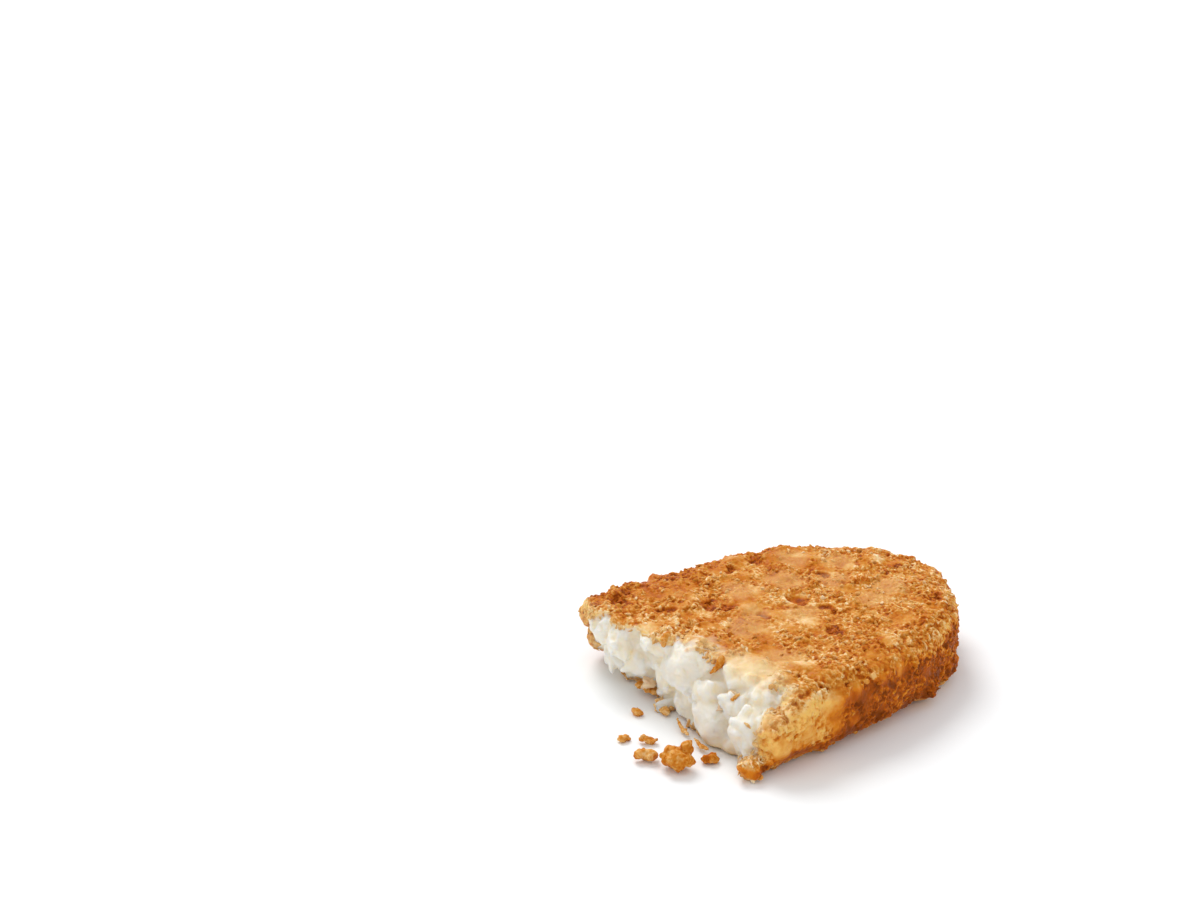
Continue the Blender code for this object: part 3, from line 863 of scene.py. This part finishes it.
def nugget_forms(places, out, size, stand, rng):
    """Uneven rounded nuggets half sunk at the given places, as points, and the sides that all share."""
    ball = bmesh.new()
    bmesh.ops.create_icosphere(ball, subdivisions=2, radius=0.5)
    form = np.array([vert.co for vert in ball.verts])
    sides = np.array([[vert.index for vert in face.verts] for face in ball.faces])
    ball.free()
    count = len(places)
    swell = np.ones((count, len(form)))
    for _ in range(NUGGET_WAVES):
        wave = rng.normal(0.0, NUGGET_DENTS, (count, 3))
        swell += NUGGET_UNEVEN * np.sin(wave @ form.T + rng.uniform(0.0, 2.0 * math.pi, (count, 1)))
    scale = size[:, None] * rng.uniform(0.55, 1.45, (count, 3))
    shaped = form[None] * swell[:, :, None] * scale[:, None, :]
    shaped = np.einsum("nij,nkj->nki", any_turns(count, rng), shaped)
    return shaped + (places + out * stand[:, None])[:, None, :], sides


def skewed(span, count, lean, rng):
    """Random sizes within a span, with more small ones than big ones."""
    return span[0] + (span[1] - span[0]) * rng.random(count) ** lean


def crust_tones(picks, tone, rng):
    """What the finish reads on bits of batter: each is about as brown and pale as the crust below it."""
    brown = rng.normal(*tone, (len(picks), 1)) + 0.9 * (toast[picks, None] - 0.50)
    return {"toast": brown, "amber": 0.8 * on_side[picks, None], "pale": pale[picks, None]}


points, facing = shape_of(patty.data)
for zone, (low, high, ridge_count, nugget_count) in BATTER_ZONES.items():
    likely = np.where((height > low) & (height <= high), crisp ** 1.5 + 0.04 * crust * (1.0 - pale), 0.0)
    likely /= likely.sum()

    picks = rng.choice(len(points), size=ridge_count, replace=False, p=likely)
    length = skewed(RIDGE_LENGTH, ridge_count, 1.7, rng)
    radius = rng.uniform(*RIDGE_RADIUS, ridge_count) * (0.8 + 0.2 * length / RIDGE_LENGTH[1])
    stand = radius * rng.uniform(-0.5, 0.2, ridge_count)
    forms = ridge_forms(points[picks], facing[picks], length, radius, RIDGE_FLATNESS, stand, rng)
    tones = crust_tones(picks, RIDGE_TONE, rng)
    joined_bits("batter_ridges_" + zone, forms, ridge_sides(), "fried_crust", crisp=0.2, **tones)

    picks = rng.choice(len(points), size=nugget_count, replace=False, p=likely)
    size = skewed(NUGGET_SIZE, nugget_count, 2.0, rng)
    stand = size * rng.uniform(-0.30, 0.05, nugget_count)
    forms, sides = nugget_forms(points[picks], facing[picks], size, stand, rng)
    tones = crust_tones(picks, NUGGET_TONE, rng)
    joined_bits("batter_nuggets_" + zone, forms, sides, "fried_crust", crisp=0.3, **tones)

# ------------------------------------------------------------------------ rim of the torn crust
# Shards of golden crust, thin and brittle, that came loose along the tear. They still hang on to the rim
# of the torn face, half sunk in the potato there.

RIM_SHARDS = 150
SHARD_SPACING = 0.6 * MM
SHARD_LENGTH = (1.0 * MM, 3.4 * MM)
SHARD_RADIUS = (0.25 * MM, 0.55 * MM)
SHARD_FLATNESS = 0.6
SHARD_TONE = (0.30, 0.09)

near_rim = (soft > 0.15) & (soft < 0.8) & (behind < 2.5 * MM) & (height > 0.04) & (steamed < 0.5)
near_rim &= stretch_share(points, *BIG_LUMP_STRETCH) < 0.5
picks = np.array(spaced_picks(points, near_rim, RIM_SHARDS, SHARD_SPACING, rng))
length = skewed(SHARD_LENGTH, len(picks), 1.6, rng)
radius = rng.uniform(*SHARD_RADIUS, len(picks))
stand = radius * rng.uniform(-0.7, 0.1, len(picks))
forms = ridge_forms(points[picks], facing[picks], length, radius, SHARD_FLATNESS, stand, rng)
brown = rng.normal(*SHARD_TONE, (len(picks), 1))
joined_bits("rim_shards", forms, ridge_sides(), "fried_crust", toast=brown, crisp=0.5, pale=0.35)

# ------------------------------------------------------------------------------- torn slivers
# Slivers of fried crust that stayed on the torn face and came out from under its foot, and flakes of
# browned potato skin. Each is an uneven strip, modelled as beads melted into one.

BEADS_PER_SPAN = 5
BEAD_UNEVEN = 0.5
BEAD_SQUARENESS = 2.4
BIT_CELL = 0.20 * MM
# Bumps on the slivers and crumbs are paler: partly their own crisp tone, partly a painted highlight
PROUD_PALE_AND_HIGHLIGHT = 0.9  # how much paler a bump is, for each millimetre that it stands proud
# The strips' bumps, coarse and fine, as (height, size)
STRIP_BUMPS = ((0.10 * MM, 0.9 * MM), (0.06 * MM, 0.5 * MM))
# Routes in millimetres (along, across, height), then width, depth and how brown
CRUST_SLIVERS = (
    (((-1.0, -9.7, 15.9), (-1.5, -10.0, 14.3), (-2.6, -8.6, 12.5)), 1.3, 0.9, 0.46),
    (((-3.2, 3.8, 16.2), (-4.7, 3.0, 14.3)), 1.5, 0.9, 0.44),
    (((-3.8, 12.4, 1.8), (-3.1, 9.5, 1.9), (-2.8, 6.4, 1.9)), 1.9, 0.9, 0.34),
    (((-4.6, 4.9, 1.6), (-5.3, 3.2, 1.0), (-5.7, 0.6, 0.8)), 1.8, 0.9, 0.22),
    (((-6.3, -3.2, 1.4), (-7.4, -6.0, 0.9), (-8.0, -8.6, 0.9)), 0.8, 0.7, 0.26),
    (((-8.6, -11.2, 1.4), (-9.0, -13.6, 1.0), (-8.7, -15.6, 1.0)), 0.8, 0.7, 0.36),
    (((-3.1, -17.6, 12.0), (-4.6, -16.2, 9.6)), 1.0, 0.5, 0.30),
)
POTATO_FLAKES = (
    (((-2.4, -15.4, 10.9), (-3.4, -14.3, 8.9), (-4.2, -13.6, 7.2)), 2.6, 0.9, 0.30),
    (((-3.4, 9.4, 4.4), (-4.0, 8.0, 3.4)), 3.0, 1.4, 0.30),
)


def beads(target, route, wide, deep, rng):
    """Adds uneven blocks along a route, smaller towards its ends, and gives their middles."""
    route = [Vector(place) * MM for place in route]
    middles = []
    for share in np.linspace(0.0, len(route) - 1.0, BEADS_PER_SPAN * (len(route) - 1) + 1):
        span = min(int(share), len(route) - 2)
        middle = route[span].lerp(route[span + 1], share - span)
        taper = 0.5 + 0.5 * math.sin(math.pi * share / (len(route) - 1.0))
        size = Vector((1.4 * wide, wide, deep)) * MM * taper * rng.uniform(0.75, 1.2)
        spin = Euler(rng.uniform(-0.6, 0.6, 3)).to_matrix()
        soft_block(target, middle, size, spin, BEAD_UNEVEN, BEAD_SQUARENESS, 3)
        middles.append(middle)
    return middles


def melted_bits(name, body, middles, tones, bumps, seed):
    """Melts forms into one rough piece, and gives how brown each point is, after the form nearest to it,
    paler on its bumps: partly their own crisp tone, partly a painted highlight.
    """
    body.transform(Matrix.Translation((WHOLE_MIDDLE, 0.0, 0.0)))
    bits = even_mesh(body, name, BIT_CELL)
    places, out = shape_of(bits.data)
    rough = np.zeros(len(places))
    for number, (rise, size) in enumerate(bumps):
        rough += rise * mottle(places, size, seed + number)
    move_points(bits.data, places + out * rough[:, None])
    bits.data.shade_smooth()
    bits.data.materials.append(fried_potato)
    middles = np.array(middles) + (WHOLE_MIDDLE, 0.0, 0.0)
    nearest = np.linalg.norm(places[:, None, :] - middles[None], axis=2).argmin(axis=1)
    return bits, places, np.array(tones)[nearest] - PROUD_PALE_AND_HIGHLIGHT * rough / MM


def strips_of_beads(name, strips, rng):
    """Melts strips into one piece, and gives how brown each of its points is."""
    body = bmesh.new()
    middles = []
    tones = []
    for route, wide, deep, tone in strips:
        added = beads(body, route, wide, deep, rng)
        middles += added
        tones += [tone] * len(added)
    bits, _, brown = melted_bits(name, body, middles, tones, STRIP_BUMPS, 51)
    return bits, brown


rng = np.random.default_rng(12)
slivers, brown = strips_of_beads("crust_slivers", CRUST_SLIVERS, rng)
note_all(slivers.data, toast=brown, crisp=0.4, amber=0.3, loose=0.8)
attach(slivers, "root")
flakes, brown = strips_of_beads("potato_flakes", POTATO_FLAKES, rng)
note_all(flakes.data, toast=brown, crisp=0.1, soft=0.45, shade=0.7, loose=0.8)
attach(flakes, "root")

# -------------------------------------------------------------------------------- loose crumbs
# Crumbs of crust that fell on the table when the patty was pulled apart. Each is a lump of fried shreds,
# rough where it broke off.

# How many blocks lie round a crumb's middle one, and their sizes as shares of the crumb's
CRUMB_PARTS = 11
CRUMB_CORE = 0.80
CRUMB_PART = (0.28, 0.48)
CRUMB_UNEVEN = 0.5
CRUMB_SQUARENESS = 2.6
CRUMB_BUMPS = ((0.16 * MM, 1.0 * MM), (0.08 * MM, 0.5 * MM))
CRUMB_LIGHTER = 0.07
# In millimetres: where its middle lies along and across, then length, width and height. Last come its
# heading in degrees and how brown it is.
LOOSE_CRUMBS = (
    (-10.0, 4.7, 2.8, 1.8, 1.4, -60.0, 0.46),
    (-18.4, -2.0, 2.7, 2.0, 1.5, -40.0, 0.46),
    (-15.2, -5.4, 4.0, 2.0, 1.5, -52.0, 0.45),
    (-19.6, -10.6, 4.6, 3.0, 2.6, -25.0, 0.48),
    (-16.8, -16.4, 6.4, 5.8, 4.6, -35.0, 0.56),
    (-10.7, -18.4, 3.4, 2.8, 2.0, -30.0, 0.62),
)
# A horn that stands up on the biggest crumb: its route, width and depth
CRUMB_HORN = (((-15.7, -17.0, 2.4), (-15.1, -16.9, 3.8), (-15.1, -16.9, 5.0)), 2.0, 1.8)


def crumb(target, along, across, long, wide, high, heading, rng):
    """Adds a heap of overlapping blocks in the rough form of an egg that lies on the table."""
    turn = Matrix.Rotation(math.radians(heading), 3, "Z")
    middle = Vector((along, across, high / 2.0))
    spots = [Vector((0.0, 0.0, 0.0))]
    for _ in range(CRUMB_PARTS):
        spots.append(Vector(rng.normal(size=3)).normalized() * 0.5)
    for number, spot in enumerate(spots):
        share = rng.uniform(*CRUMB_PART) if number else CRUMB_CORE
        size = Vector((long, wide, high)) * share
        place = middle + turn @ (spot * (1.0 - 0.8 * share) * Vector((long, wide, high)))
        spin = Euler(rng.uniform(-0.8, 0.8, 3)).to_matrix()
        soft_block(target, place * MM, size * MM, turn @ spin, CRUMB_UNEVEN, CRUMB_SQUARENESS, 3)
    return middle * MM


rng = np.random.default_rng(13)
crumbs_body = bmesh.new()
middles = []
tones = []
for *form, tone in LOOSE_CRUMBS:
    middles.append(crumb(crumbs_body, *form, rng))
    tones.append(tone)
beads(crumbs_body, *CRUMB_HORN, rng)
crumbs, places, brown = melted_bits("loose_crumbs", crumbs_body, middles, tones, CRUMB_BUMPS, 61)
brown += 0.10 * mottle(places, 2.0 * MM, 63) - CRUMB_LIGHTER
note_all(crumbs.data, toast=brown, crisp=0.5, amber=0.35, loose=0.7)
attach(crumbs, "root")

# ------------------------------------------------------------------------------------ the two boxes
# The imported part's own box and that of the dressed part, in metres, each as its low and its high corner.

low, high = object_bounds()
